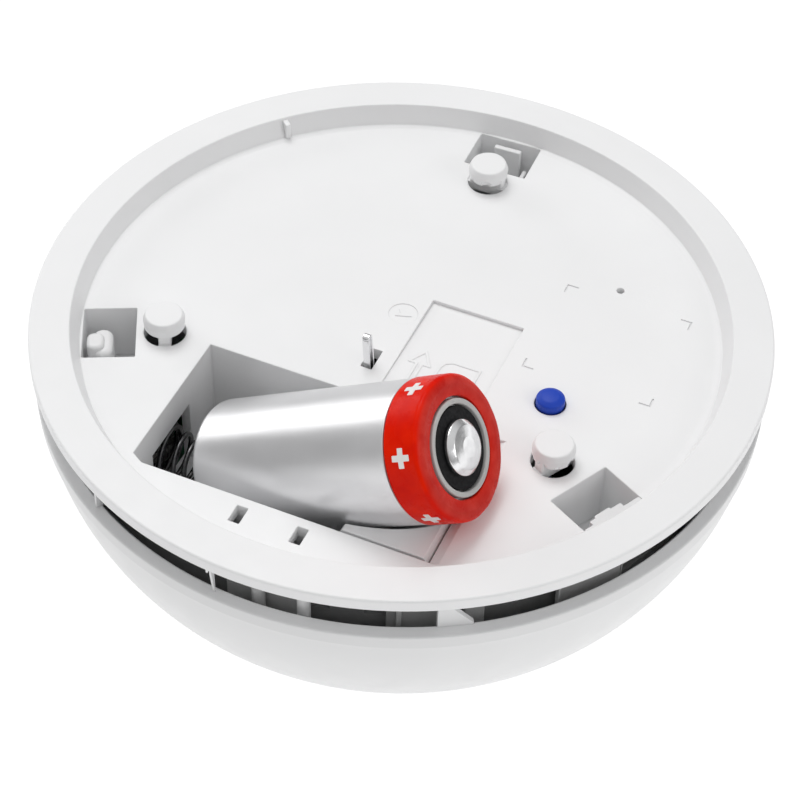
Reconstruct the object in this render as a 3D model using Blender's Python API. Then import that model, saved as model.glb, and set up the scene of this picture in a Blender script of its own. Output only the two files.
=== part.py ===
"""Battery smoke detector, lying on its domed front with the mounting side up.

Z = 0 is the flat middle of the front, +Z points to the ceiling side, and +X runs along the
lithium cell towards its positive end. Lengths below are in millimetres and angles in degrees.
"""

import math

import bmesh
import bpy
from mathutils import Matrix, Vector

MM = 0.001

# Overall form
BODY_RADIUS = 46.0
BODY_HEIGHT = 40.0
GAP = 0.3  # running gap between neighbouring pieces
TURN_STEPS = 48  # facets round the covers

# Dome: a side arc that runs into a tighter arc, which ends at a flat ring
SIDE_ARC_RADIUS = 38.9
SIDE_ARC_CENTRE_R = 6.8
FRONT_ARC_RADIUS = 27.6
ARC_JOIN_ANGLE = 46.0
DRAFT_ANGLE = 8.1
DOME_WALL = 1.9
LIP_Z = 33.3
BUTTON_WELL_RADIUS = 12.0

# Back cover
RIM_INNER_RADIUS = 40.95
RECESS_RADIUS = 39.9
RIM_EDGE_HEIGHT = 1.66
FLOOR_Z = BODY_HEIGHT - 2.67
FLOOR_THICKNESS = 1.7
FLOOR_UNDER_Z = FLOOR_Z - FLOOR_THICKNESS
BOX_WALL = 1.2

# Battery compartment, inside faces
BAY_X = (-20.2, 19.1)
BAY_Y = (-33.6, -12.7)
BAY_BOTTOM_Z = 17.7
BAY_CORNER_RADIUS = 38.4  # the two outer corners are cut off along this circle

# Lithium cell, 17 x 34.5 mm, and its two positions in the plane Y = CELL_Y
CELL_RADIUS = 8.4
COLLAR_RADIUS = 8.5
CELL_BODY = 33.5
CELL_Y = -23.9
CELL_TILT = 30.0
CELL_REST = (-11.3, 29.95)  # X and Z of the negative face's centre, positive end up
CELL_AXIS_SEATED_Z = 27.8

# Lift flap under the cell, tipped up about its pivot by the tilt given
FLAP_PIVOT = (-13.8, 27.75)
FLAP_TILT = 31.0
FLAP_REACH = 31.4
TRAY_Z = (-9.65, -8.65)

# Three mounting posts (radius and angle) with a snap-hook pocket outboard of each
STATIONS = ((30.5, 91.5), (29.4, 206.3), (28.5, 332.3))
STATION_ANGLES = tuple(angle for _, angle in STATIONS)
POST_CAP_RADIUS = 2.65
POST_HOLE_RADIUS = 2.9
POST_RIB = 1.5
POCKET_R = (33.0, 39.6)
POCKET_WIDTH = 8.6
POCKET_WALL = 1.0
POCKET_DEPTH = 8.3

# Buttons, switches and small features of the back
LINK_XY = (21.6, -4.6)
LINK_RADIUS = 1.75
LEAF_X = (-1.55, -0.65)
LEAF_Y = (-8.0, -6.8)  # its two legs
LEAF_THICKNESS = 0.26
LEAF_HEIGHT = 5.3  # above the floor
LEAF_HOLE = ((-1.9, -8.35), (-0.4, -4.9))
SLOT_CENTRES = ((-4.7, -36.15), (3.0, -36.15))
RESET_HOLE_XY = (22.6, 17.8)

# Inside
BOARD_Z = (14.5, 16.1)
BOARD_RADIUS = 35.4
SCREW_PLACES = ((30.0, 22.0), (30.0, 90.0), (30.0, 160.0))  # radius and angle
CHAMBER_XY = (-3.0, 11.0)
CHAMBER_RADIUS = 15.0
SOUNDER_XY = (-16.5, -13.5)
RIB_ANGLES = (14, 38, 62, 118, 142, 166, 190, 241, 265, 279, 303, 318, 350)


# --- Mesh helpers ---------------------------------------------------------------------------


def material(name, colour, roughness, metallic=0.0):
    made = bpy.data.materials.new(name)
    made.use_nodes = True
    shader = made.node_tree.nodes["Principled BSDF"]
    shader.inputs["Base Color"].default_value = (*colour, 1.0)
    shader.inputs["Roughness"].default_value = roughness
    shader.inputs["Metallic"].default_value = metallic
    return made


def finish_mesh(name, mesh, surface=None):
    """Object from a bmesh in millimetres, faces out and sized to metres."""
    bmesh.ops.remove_doubles(mesh, verts=mesh.verts, dist=1e-4)
    bmesh.ops.recalc_face_normals(mesh, faces=mesh.faces)
    bmesh.ops.scale(mesh, vec=(MM, MM, MM), verts=mesh.verts)
    data = bpy.data.meshes.new(name)
    mesh.to_mesh(data)
    mesh.free()
    data.shade_smooth()
    data.set_sharp_from_angle(angle=math.radians(32))
    made = bpy.data.objects.new(name, data)
    bpy.context.collection.objects.link(made)
    if surface:
        data.materials.append(surface)
    return made


def spin_into(mesh, profile, steps):
    """Adds the closed (radius, z) outline turned round the Z axis."""
    corners = [mesh.verts.new((r, 0.0, z)) for r, z in profile]
    edges = [mesh.edges.new((a, b)) for a, b in zip(corners, corners[1:] + corners[:1])]
    bmesh.ops.spin(
        mesh,
        geom=corners + edges,
        cent=(0, 0, 0),
        axis=(0, 0, 1),
        angle=math.tau,
        steps=steps,
        use_merge=True,
    )
    on_axis = [v for v in mesh.verts if math.hypot(v.co.x, v.co.y) < 1e-6]
    bmesh.ops.remove_doubles(mesh, verts=on_axis, dist=1e-4)
    flat = [f for f in mesh.faces if f.calc_area() < 1e-9]
    bmesh.ops.delete(mesh, geom=flat, context="FACES")
    bare = [e for e in mesh.edges if not e.link_faces]
    bmesh.ops.delete(mesh, geom=bare, context="EDGES")


def turned(name, profile, surface=None, steps=24):
    mesh = bmesh.new()
    spin_into(mesh, profile, steps)
    return finish_mesh(name, mesh, surface)


def box_into(mesh, low, high, turn=0.0, about=(0.0, 0.0)):
    """Adds a block between two corners, then turned about a vertical line."""
    size = Vector(high) - Vector(low)
    middle = (Vector(high) + Vector(low)) / 2
    place = (
        Matrix.Translation((about[0], about[1], 0))
        @ Matrix.Rotation(math.radians(turn), 4, "Z")
        @ Matrix.Translation(middle)
        @ Matrix.Diagonal((*size, 1))
    )
    bmesh.ops.create_cube(mesh, size=1.0, matrix=place)


def block(name, low, high, surface=None, turn=0.0, about=(0.0, 0.0)):
    mesh = bmesh.new()
    box_into(mesh, low, high, turn, about)
    return finish_mesh(name, mesh, surface)


def prism_into(mesh, outline, low, high, to_point):
    """Adds an outline swept from low to high; to_point turns (u, v, w) into a point."""
    base = [mesh.verts.new(to_point(u, v, low)) for u, v in outline]
    face = mesh.faces.new(base)
    lifted = bmesh.ops.extrude_face_region(mesh, geom=[face])
    raised = [g for g in lifted["geom"] if isinstance(g, bmesh.types.BMVert)]
    step = Vector(to_point(0, 0, high)) - Vector(to_point(0, 0, low))
    bmesh.ops.translate(mesh, vec=step, verts=raised)


def upright(u, v, w):
    return (u, v, w)


def along_y(u, v, w):
    return (u, w, v)


def along_x(u, v, w):
    return (w, u, v)


def prism(name, outline, low, high, surface=None, to_point=upright):
    mesh = bmesh.new()
    prism_into(mesh, outline, low, high, to_point)
    return finish_mesh(name, mesh, surface)


def cylinder_into(mesh, x, y, radius, low, high, steps=20):
    bmesh.ops.create_cone(
        mesh,
        cap_ends=True,
        segments=steps,
        radius1=radius,
        radius2=radius,
        depth=high - low,
        matrix=Matrix.Translation((x, y, (low + high) / 2)),
    )


def cylinder(name, x, y, radius, low, high, surface=None, steps=20):
    mesh = bmesh.new()
    cylinder_into(mesh, x, y, radius, low, high, steps)
    return finish_mesh(name, mesh, surface)


def crosswise_pin_into(mesh, x, z, radius, low_y, high_y, steps=16):
    """Adds a cylinder along Y."""
    place = Matrix.Translation((x, (low_y + high_y) / 2, z)) @ Matrix.Rotation(math.pi / 2, 4, "X")
    bmesh.ops.create_cone(
        mesh,
        cap_ends=True,
        segments=steps,
        radius1=radius,
        radius2=radius,
        depth=high_y - low_y,
        matrix=place,
    )


def apply_tool(target, tool, operation):
    """Boolean on the target; the tool stays as a hidden guide."""
    step = target.modifiers.new(f"{operation.lower()}_{tool.name}", "BOOLEAN")
    step.operation = operation
    step.solver = "EXACT"
    step.use_self = True
    step.object = tool
    tool.hide_render = True
    tool.display_type = "WIRE"


def wire(name, points, radius, surface, sides=1):
    """Round wire through the points, as a filled curve."""
    curve = bpy.data.curves.new(name, "CURVE")
    curve.dimensions = "3D"
    curve.bevel_depth = radius * MM
    curve.bevel_resolution = sides
    curve.use_fill_caps = True
    line = curve.splines.new("POLY")
    line.points.add(len(points) - 1)
    for knot, point in zip(line.points, points):
        knot.co = (*(Vector(point) * MM), 1.0)
    curve.materials.append(surface)
    made = bpy.data.objects.new(name, curve)
    bpy.context.collection.objects.link(made)
    return made


def coil_points(turns, start_radius, end_radius, low, high, per_turn=12):
    """Helix round the Z axis from low to high, with its last half turn lying flat."""
    count = round(turns * per_turn)
    points = []
    for i in range(count + 1):
        share = i / count
        angle = math.tau * turns * share
        radius = start_radius + (end_radius - start_radius) * share
        points.append((radius * math.cos(angle), radius * math.sin(angle), low + (high - low) * share))
    return points


def arc(centre, radius, start, end, steps):
    return [
        (
            centre[0] + radius * math.cos(math.radians(start + (end - start) * i / steps)),
            centre[1] + radius * math.sin(math.radians(start + (end - start) * i / steps)),
        )
        for i in range(steps + 1)
    ]


def place(item, x, y, z=0.0):
    item.location = Vector((x, y, z)) * MM
    return item


def polar(radius, angle):
    return radius * math.cos(math.radians(angle)), radius * math.sin(math.radians(angle))


# --- Dome geometry --------------------------------------------------------------------------


def dome_profile(inset, top_z, steps):
    """(radius, z) points down the dome, moved inwards by inset, from top_z to the flat ring."""
    side_centre = (
        SIDE_ARC_CENTRE_R,
        FRONT_ARC_RADIUS
        + (SIDE_ARC_RADIUS - FRONT_ARC_RADIUS) * math.sin(math.radians(ARC_JOIN_ANGLE)),
    )
    front_centre = (
        side_centre[0]
        + (SIDE_ARC_RADIUS - FRONT_ARC_RADIUS) * math.cos(math.radians(ARC_JOIN_ANGLE)),
        FRONT_ARC_RADIUS,
    )
    side = arc(side_centre, SIDE_ARC_RADIUS - inset, -DRAFT_ANGLE, -ARC_JOIN_ANGLE, steps)
    front = arc(front_centre, FRONT_ARC_RADIUS - inset, -ARC_JOIN_ANGLE, -90.0, steps)
    flare = math.tan(math.radians(DRAFT_ANGLE)) * (top_z - side[0][1])
    return [(side[0][0] + flare, top_z)] + side + front[1:]


def trimmed_bay(grow, circle):
    """Compartment outline grown by a wall, with its two outer corners cut off at a circle."""
    west, east = BAY_X[0] - grow, BAY_X[1] + grow
    south, north = BAY_Y[0] - grow, BAY_Y[1] + grow
    return [
        (west, north),
        (west, -math.sqrt(circle**2 - west**2)),
        (-math.sqrt(circle**2 - south**2), south),
        (math.sqrt(circle**2 - south**2), south),
        (east, -math.sqrt(circle**2 - east**2)),
        (east, north),
    ]


# --- Housing --------------------------------------------------------------------------------


def make_back_cover(white):
    cover = turned(
        "back_cover",
        [
            (0.0, FLOOR_Z),
            (0.0, FLOOR_UNDER_Z),
            (42.0, FLOOR_UNDER_Z),
            (42.4, BODY_HEIGHT - RIM_EDGE_HEIGHT),
            (BODY_RADIUS, BODY_HEIGHT - RIM_EDGE_HEIGHT),
            (BODY_RADIUS, BODY_HEIGHT - 0.2),
            (BODY_RADIUS - 0.2, BODY_HEIGHT),
            (RIM_INNER_RADIUS, BODY_HEIGHT),
            (RECESS_RADIUS, FLOOR_Z),
        ],
        white,
        TURN_STEPS,
    )

    # Battery box under the floor, rounded off below where it would meet the dome
    box_outer = prism(
        "battery_box_outer",
        trimmed_bay(BOX_WALL, BAY_CORNER_RADIUS + BOX_WALL),
        BAY_BOTTOM_Z - BOX_WALL,
        FLOOR_Z - 0.6,
    )
    box_limit = turned(
        "battery_box_limit",
        [(0.0, 39.0)] + dome_profile(DOME_WALL + 0.5, 39.0, 6)[:-1] + [(0.0, 5.0)],
        steps=32,
    )
    apply_tool(box_outer, box_limit, "INTERSECT")
    apply_tool(cover, box_outer, "UNION")

    # Everything else that stands on or hangs from the floor plate
    added = bmesh.new()
    for radius, angle in STATIONS:
        x, y = polar(radius, angle)
        cylinder_into(added, x, y, POST_CAP_RADIUS, 38.9, BODY_HEIGHT - 0.1)
    caps = finish_mesh("post_caps", added)
    post_webs = bmesh.new()
    for radius, angle in STATIONS:
        box_into(
            post_webs,
            (radius - POST_RIB / 2, -POST_HOLE_RADIUS - 0.5, FLOOR_UNDER_Z + 0.3),
            (radius + POST_RIB / 2, POST_HOLE_RADIUS + 0.5, FLOOR_Z - 0.2),
            turn=angle,
        )
        box_into(
            post_webs,
            (radius - POST_RIB / 2 + 0.02, -2.35, FLOOR_UNDER_Z + 0.6),
            (radius + POST_RIB / 2 - 0.02, 2.35, 39.4),
            turn=angle,
        )
    webs = finish_mesh("post_webs", post_webs)

    shells = bmesh.new()
    for angle in STATION_ANGLES:
        box_into(
            shells,
            (POCKET_R[0] - POCKET_WALL, -POCKET_WIDTH / 2 - POCKET_WALL, FLOOR_Z - POCKET_DEPTH),
            (POCKET_R[1] + POCKET_WALL, POCKET_WIDTH / 2 + POCKET_WALL, FLOOR_Z - 0.5),
            turn=angle,
        )
    cylinder_into(shells, *LINK_XY, 4.0, 29.5, FLOOR_Z - 0.5)
    shells = finish_mesh("pocket_shells", shells)
    apply_tool(cover, shells, "UNION")

    # Openings
    bay = prism(
        "bay_cutter", trimmed_bay(0.0, BAY_CORNER_RADIUS), BAY_BOTTOM_Z, BODY_HEIGHT + 1.0
    )
    bay_limit = turned(
        "bay_limit",
        [(0.0, 42.0)] + dome_profile(DOME_WALL + 0.5 + BOX_WALL, 42.0, 6)[:-1] + [(0.0, 6.0)],
        steps=32,
    )
    apply_tool(bay, bay_limit, "INTERSECT")
    apply_tool(cover, bay, "DIFFERENCE")

    cutters = bmesh.new()
    for radius, angle in STATIONS:
        x, y = polar(radius, angle)
        cylinder_into(cutters, x, y, POST_HOLE_RADIUS, FLOOR_UNDER_Z - 1, FLOOR_Z + 1)
        box_into(
            cutters,
            (POCKET_R[0], -POCKET_WIDTH / 2, FLOOR_Z - POCKET_DEPTH - 1),
            (POCKET_R[1], POCKET_WIDTH / 2, BODY_HEIGHT + 1),
            turn=angle,
        )
        # catch window for the hook's nose in the pocket's outer wall
        box_into(
            cutters,
            (POCKET_R[1] - 0.3, -2.9, 31.6),
            (POCKET_R[1] + POCKET_WALL + 0.5, 2.9, 34.9),
            turn=angle,
        )
    cylinder_into(cutters, *LINK_XY, 2.15, 34.0, BODY_HEIGHT, 20)
    cylinder_into(cutters, *LINK_XY, 2.9, 28.5, 36.3, 20)
    box_into(cutters, (*LEAF_HOLE[0], 34.0), (*LEAF_HOLE[1], BODY_HEIGHT))
    for x, y in SLOT_CENTRES:
        box_into(cutters, (x - 0.7, y - 1.25, 34.0), (x + 0.7, y + 1.25, BODY_HEIGHT))
    cylinder_into(cutters, *RESET_HOLE_XY, 0.55, 34.0, BODY_HEIGHT, 10)
    # windows for the battery contacts in the compartment's end walls
    box_into(cutters, (-22.5, -28.5, 23.0), (-19.5, -18.9, 32.6))
    box_into(cutters, (18.5, -27.3, 22.8), (21.5, -20.5, 33.0))
    # bearing holes for the lift flap's stubs
    crosswise_pin_into(cutters, *FLAP_PIVOT, 1.25, -36.0, -33.0)
    crosswise_pin_into(cutters, *FLAP_PIVOT, 1.25, -13.4, -10.5)
    cutters = finish_mesh("cover_cutters", cutters)
    apply_tool(cover, cutters, "DIFFERENCE")

    apply_tool(cover, webs, "UNION")
    apply_tool(cover, caps, "UNION")

    # Lip over the positive end, sloped like the cell that leans on it
    lip = prism(
        "bay_lip",
        [(17.95, 35.2), (19.6, 35.2), (19.6, 37.0), (19.1, 37.25), (17.95, 36.6)],
        BAY_Y[0] - 0.4,
        BAY_Y[1] + 0.4,
        to_point=along_y,
    )
    apply_tool(cover, lip, "UNION")
    return cover


def make_front_cover(white):
    outer = dome_profile(0.0, LIP_Z, 6)
    inner = dome_profile(DOME_WALL, LIP_Z - 0.4, 4)
    # the flat ring ends at the button well, whose wall stands up inside
    outline = outer + [
        (BUTTON_WELL_RADIUS, 0.0),
        (BUTTON_WELL_RADIUS, 6.5),
        (BUTTON_WELL_RADIUS + 1.3, 6.5),
        (BUTTON_WELL_RADIUS + 1.3, DOME_WALL),
    ]
    cover = turned("front_cover", outline + inner[::-1], white, TURN_STEPS)

    # Spacer ribs inside the lip, which hold the back cover's rim off the dome
    stands = bmesh.new()
    for angle in RIB_ANGLES:
        box_into(stands, (42.8, -0.65, 28.0), (44.9, 0.65, 38.0), turn=angle)
    for radius, angle in SCREW_PLACES:
        x, y = polar(radius, angle)
        cylinder_into(stands, x, y, 2.7, 6.5, BOARD_Z[0] - GAP, 16)
    # Snap hooks: tall arms with an outward nose
    for angle in STATION_ANGLES:
        hook = [
            (36.2, 13.2),
            (39.0, 13.2),
            (39.0, 32.2),
            (40.2, 32.6),
            (40.2, 33.2),
            (39.0, 34.6),
            (39.0, 36.2),
            (37.5, 36.2),
            (37.5, 19.0),
            (36.2, 15.0),
        ]
        turn = Matrix.Rotation(math.radians(angle), 3, "Z")
        prism_into(stands, hook, -2.5, 2.5, lambda u, v, w, turn=turn: turn @ Vector((u, w, v)))
    stands = finish_mesh("cover_stands", stands)
    limit = turned(
        "stand_limit",
        [(0.0, 39.5)] + dome_profile(DOME_WALL / 2, 39.5, 8)[:-1] + [(0.0, 1.0)],
        steps=TURN_STEPS,
    )
    apply_tool(stands, limit, "INTERSECT")
    apply_tool(cover, stands, "UNION")

    cutters = bmesh.new()
    for radius, angle in SCREW_PLACES:
        cylinder_into(cutters, *polar(radius, angle), 0.85, 9.5, BOARD_Z[0] + 2, 10)
    for i in range(5):  # sound slots in front of the horn
        offset = (i - 2) * 2.6
        length = 5.2 - abs(i - 2) * 0.9
        box_into(
            cutters,
            (offset - 0.6, -length, -1.0),
            (offset + 0.6, length, 8.0),
            turn=45.0,
            about=(-18.8, -15.6),
        )
    cutters = finish_mesh("front_cutters", cutters)
    apply_tool(cover, cutters, "DIFFERENCE")
    return cover


def make_smoke_baffle(dark):
    """Slotted ring just inside the inlet gap, open at the three snap-hook pockets."""
    baffle = turned(
        "smoke_baffle", [(40.1, 27.0), (41.1, 27.0), (41.1, 35.2), (40.1, 35.2)], dark, 48
    )
    cutters = bmesh.new()
    for angle in STATION_ANGLES:
        box_into(cutters, (38.0, -6.3, 28.6), (43.0, 6.3, 40.0), turn=angle)
    cutters = finish_mesh("baffle_gaps", cutters)
    apply_tool(baffle, cutters, "DIFFERENCE")
    slots = bmesh.new()
    for i in range(24):
        angle = 15.0 * i + 7.5
        if all(abs((angle - s + 180) % 360 - 180) > 14 for s in STATION_ANGLES):
            box_into(slots, (39.0, -3.4, 31.2), (42.5, 3.4, 33.6), turn=angle)
    slots = finish_mesh("baffle_slots", slots)
    apply_tool(baffle, slots, "DIFFERENCE")
    return baffle


# --- Lithium cell ---------------------------------------------------------------------------


def make_cell(silver, red, grey, black, chrome):
    """Cell pieces round the Z axis with the negative face at 0, laid on the tilted axis."""
    pieces = [
        turned(
            "cell_can",
            [
                (0.0, 0.0),
                (CELL_RADIUS - 0.7, 0.0),
                (CELL_RADIUS - 0.2, 0.2),
                (CELL_RADIUS, 0.7),
                (CELL_RADIUS, 28.5),
                (7.95, 28.5),
                (7.95, 32.2),
                (0.0, 32.2),
            ],
            silver,
            40,
        ),
        turned(
            "cell_collar",
            [
                (COLLAR_RADIUS, 28.75),
                (COLLAR_RADIUS, 32.7),
                (COLLAR_RADIUS - 0.25, 33.25),
                (COLLAR_RADIUS - 0.8, CELL_BODY),
                (5.9, CELL_BODY - 0.1),
                (5.9, 32.7),
                (8.2, 32.5),
                (8.2, 28.75),
            ],
            red,
            40,
        ),
        turned("cell_rim_ring", [(5.65, 32.5), (5.65, 33.4), (5.0, 33.4), (5.0, 32.5)], grey),
        turned("cell_insulator", [(4.75, 32.5), (4.75, 33.1), (2.5, 33.1), (2.5, 32.5)], black),
        turned(
            "cell_positive_cap",
            [
                (0.0, 32.5),
                (2.2, 32.5),
                (2.2, 33.4),
                (3.3, 33.4),
                (3.2, 33.9),
                (2.5, 34.35),
                (1.3, 34.5),
                (0.0, 34.5),
            ],
            chrome,
        ),
    ]
    seat = bpy.data.objects.new("cell_seat", None)
    bpy.context.collection.objects.link(seat)
    seat.location = Vector((CELL_REST[0], CELL_Y, CELL_REST[1])) * MM
    seat.rotation_euler = (0.0, math.radians(90.0 - CELL_TILT), 0.0)
    for piece in pieces:
        piece.parent = seat
    return pieces


def make_lift_flap(white):
    """Tray under the cell with two arms, tipped up about the stubs at its pivot."""
    arm = [
        (-1.9, 1.2),
        (0.9, 1.9),
        (2.1, 0.6),
        (6.2, -8.0),
        (6.2, TRAY_Z[0] + 0.05),
        (4.6, TRAY_Z[0] + 0.05),
        (-1.9, -1.3),
    ]
    flap = bmesh.new()
    prism_into(flap, arm, -33.3, -32.55, along_y)
    prism_into(flap, arm, -14.1, -13.15, along_y)
    tray = [
        (4.9, TRAY_Z[0]),
        (FLAP_REACH - 0.5, TRAY_Z[0]),
        (FLAP_REACH, TRAY_Z[1] - 0.3),
        (FLAP_REACH, TRAY_Z[1]),
        (4.9, TRAY_Z[1]),
    ]
    flap = finish_mesh("lift_flap_arms", flap)
    body = prism("lift_flap", tray, -33.1, -13.3, white, along_y)
    apply_tool(body, flap, "UNION")
    stubs = bmesh.new()
    crosswise_pin_into(stubs, 0.0, 0.0, 0.9, -34.6, -32.7)
    crosswise_pin_into(stubs, 0.0, 0.0, 0.9, -13.7, -9.2)
    stubs = finish_mesh("lift_flap_stubs", stubs)
    apply_tool(body, stubs, "UNION")
    hinge = bpy.data.objects.new("lift_flap_hinge", None)
    bpy.context.collection.objects.link(hinge)
    hinge.location = Vector((FLAP_PIVOT[0], 0.0, FLAP_PIVOT[1])) * MM
    hinge.rotation_euler = (0.0, -math.radians(FLAP_TILT), 0.0)
    for piece in (body, flap, stubs):
        piece.parent = hinge
    return body


def make_lift_spring(steel):
    """Torsion spring round the flap's rear stub, with a leg along each part."""
    x, z = FLAP_PIVOT
    points = [(x - 6.0, -11.0, z + 1.7)]
    turns = 3
    for i in range(turns * 12 + 1):
        angle = math.tau * i / 12 + math.pi / 2
        points.append(
            (x + 1.7 * math.cos(angle), -10.95 + 1.9 * i / (turns * 12), z + 1.7 * math.sin(angle))
        )
    points.append((x + 6.0, -9.05, z + 1.7))
    return wire("lift_spring", points, 0.25, steel)


def make_contacts(nickel):
    foot = BOARD_Z[1] + GAP
    positive = block("positive_contact", (20.65, -26.6, foot), (21.05, -21.2, 32.6), nickel)
    nose = turned("contact_nose", [(0.0, -0.2), (2.4, -0.2), (1.1, 1.5), (0.0, 1.5)], steps=12)
    nose.matrix_world = Matrix.Translation(
        Vector((20.65, CELL_Y, CELL_AXIS_SEATED_Z)) * MM
    ) @ Matrix.Rotation(-math.pi / 2, 4, "Y")
    apply_tool(positive, nose, "UNION")
    plate = [
        (-28.6, 22.8),
        (-26.0, 22.8),
        (-26.0, foot),
        (-21.5, foot),
        (-21.5, 22.8),
        (-19.1, 22.8),
        (-19.1, 32.4),
        (-28.6, 32.4),
    ]
    negative = prism("negative_contact", plate, -22.6, -23.0, nickel, along_x)
    spring = wire("negative_spring", coil_points(4.5, 4.2, 2.3, 0.0, 5.0), 0.32, nickel)
    spring.matrix_world = Matrix.Translation(
        Vector((-21.9, CELL_Y + 0.2, CELL_AXIS_SEATED_Z)) * MM
    ) @ Matrix.Rotation(math.pi / 2, 4, "Y")
    return positive, negative, spring


# --- Buttons and leaf -----------------------------------------------------------------------


def make_test_button(white, clear, steel):
    ring = turned(
        "light_ring",
        [(11.7, 0.3), (11.7, 5.8), (10.6, 5.8), (10.6, 0.3)],
        clear,
        48,
    )
    button = turned(
        "test_button",
        [
            (0.0, 0.3),
            (9.8, 0.3),
            (10.25, 0.8),
            (10.25, 6.1),
            (11.5, 6.1),
            (11.5, 7.1),
            (9.2, 7.1),
            (9.2, 2.2),
            (1.6, 2.2),
            (1.6, 11.4),
            (0.0, 11.4),
        ],
        white,
        40,
    )
    spring = wire("test_button_spring", coil_points(4, 5.0, 5.0, 2.9, 13.8), 0.35, steel)
    return ring, button, spring


def make_link_button(blue):
    button = turned(
        "link_button",
        [
            (0.0, 18.6),
            (1.0, 18.6),
            (1.0, 34.3),
            (2.6, 34.3),
            (2.6, 35.6),
            (LINK_RADIUS, 35.6),
            (LINK_RADIUS, 37.9),
            (1.45, 38.35),
            (0.8, 38.6),
            (0.0, 38.7),
        ],
        blue,
        20,
    )
    place(button, *LINK_XY)
    return button


def make_tamper_leaf(steel):
    """Strip bent up, over and down again; its long leg reaches down to the board."""
    near, far = LEAF_Y
    bend_radius = (far - near) / 2
    bend_z = FLOOR_Z + LEAF_HEIGHT - bend_radius
    bend_centre = (near + bend_radius, bend_z)
    outside = arc(bend_centre, bend_radius, 180.0, 0.0, 6)
    inside = arc(bend_centre, bend_radius - LEAF_THICKNESS, 0.0, 180.0, 6)
    outline = (
        [(near, 20.5)]
        + outside
        + [(far, FLOOR_Z - 1.2), (far - LEAF_THICKNESS, FLOOR_Z - 1.2)]
        + inside
        + [(near + LEAF_THICKNESS, 20.5)]
    )
    return prism("tamper_leaf", outline, *LEAF_X, steel, along_x)


# --- Electronics ----------------------------------------------------------------------------


def make_board(green):
    board = cylinder("main_board", 0.0, 0.0, BOARD_RADIUS, *BOARD_Z, green, 48)
    holes = bmesh.new()
    for radius, angle in SCREW_PLACES:
        cylinder_into(holes, *polar(radius, angle), 1.6, BOARD_Z[0] - 1, BOARD_Z[1] + 1, 12)
    for angle in STATION_ANGLES:  # room for the snap hooks' roots
        box_into(holes, (34.0, -4.0, 10.0), (40.0, 4.0, 20.0), turn=angle)
    holes = finish_mesh("board_holes", holes)
    apply_tool(board, holes, "DIFFERENCE")
    return board


def make_screws(steel):
    screws = []
    low = BOARD_Z[0] - 4.0
    top = BOARD_Z[1] + GAP
    for i, (radius, angle) in enumerate(SCREW_PLACES):
        screw = turned(
            f"board_screw_{i + 1}",
            [
                (0.0, low),
                (0.35, low),
                (0.7, low + 0.6),
                (0.7, top),
                (2.3, top),
                (2.1, top + 0.9),
                (1.2, top + 1.4),
                (0.0, top + 1.5),
            ],
            steel,
            16,
        )
        screws.append(place(screw, *polar(radius, angle)))
    return screws


def make_chamber(black, screen_grey, clear):
    x, y = CHAMBER_XY
    floor = BOARD_Z[1] + GAP
    base = turned(
        "chamber_base",
        [
            (0.0, floor),
            (CHAMBER_RADIUS, floor),
            (CHAMBER_RADIUS, floor + 1.2),
            (CHAMBER_RADIUS - 0.9, floor + 1.2),
            (CHAMBER_RADIUS - 0.9, floor + 2.2),
            (0.0, floor + 2.2),
        ],
        black,
        32,
    )
    cap_low = floor + 11.5
    cap = cylinder("chamber_cap", 0.0, 0.0, CHAMBER_RADIUS, cap_low, cap_low + 1.3, black, 32)
    vanes = bmesh.new()
    for i in range(10):
        angle = 36.0 * i
        px, py = polar(11.6, angle)
        box_into(
            vanes,
            (-2.6, -0.4, floor + 2.2 + GAP),
            (2.6, 0.4, cap_low + 0.6),
            turn=angle + 48.0,
            about=(px, py),
        )
    vanes = finish_mesh("chamber_vanes", vanes)
    apply_tool(cap, vanes, "UNION")
    vanes.parent = cap
    screen = turned(
        "insect_screen",
        [
            (CHAMBER_RADIUS - 0.1, floor + 1.5),
            (CHAMBER_RADIUS - 0.1, cap_low - GAP),
            (CHAMBER_RADIUS - 0.5, cap_low - GAP),
            (CHAMBER_RADIUS - 0.5, floor + 1.5),
        ],
        screen_grey,
        32,
    )
    emitter = turned(
        "ir_emitter", [(0.0, 0.0), (1.5, 0.0), (1.5, 3.0), (0.9, 4.0), (0.0, 4.3)], clear, 12
    )
    receiver = turned(
        "photodiode", [(0.0, 0.0), (1.5, 0.0), (1.5, 3.0), (0.9, 4.0), (0.0, 4.3)], black, 12
    )
    for item in (base, cap, screen):
        place(item, x, y)
    lean = math.radians(90.0)
    for item, angle in ((emitter, 200.0), (receiver, 335.0)):
        px, py = polar(7.2, angle)
        item.rotation_euler = (0.0, lean, math.radians(angle + 180.0))
        item.location = Vector((x + px, y + py, floor + 5.6)) * MM
    return base, cap, screen, emitter, receiver


def make_sounder(black, brass):
    x, y = SOUNDER_XY
    top = BOARD_Z[0] - GAP
    housing = turned(
        "sounder_housing",
        [
            (0.0, top),
            (9.8, top),
            (9.8, 8.9),
            (2.4, 8.9),
            (2.4, 9.8),
            (8.7, 9.8),
            (8.7, top - 1.1),
            (0.0, top - 1.1),
        ],
        black,
        32,
    )
    disc = turned("piezo_disc", [(0.0, 11.2), (8.3, 11.2), (8.3, 11.6), (0.0, 11.6)], brass, 32)
    return place(housing, x, y), place(disc, x, y)


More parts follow.
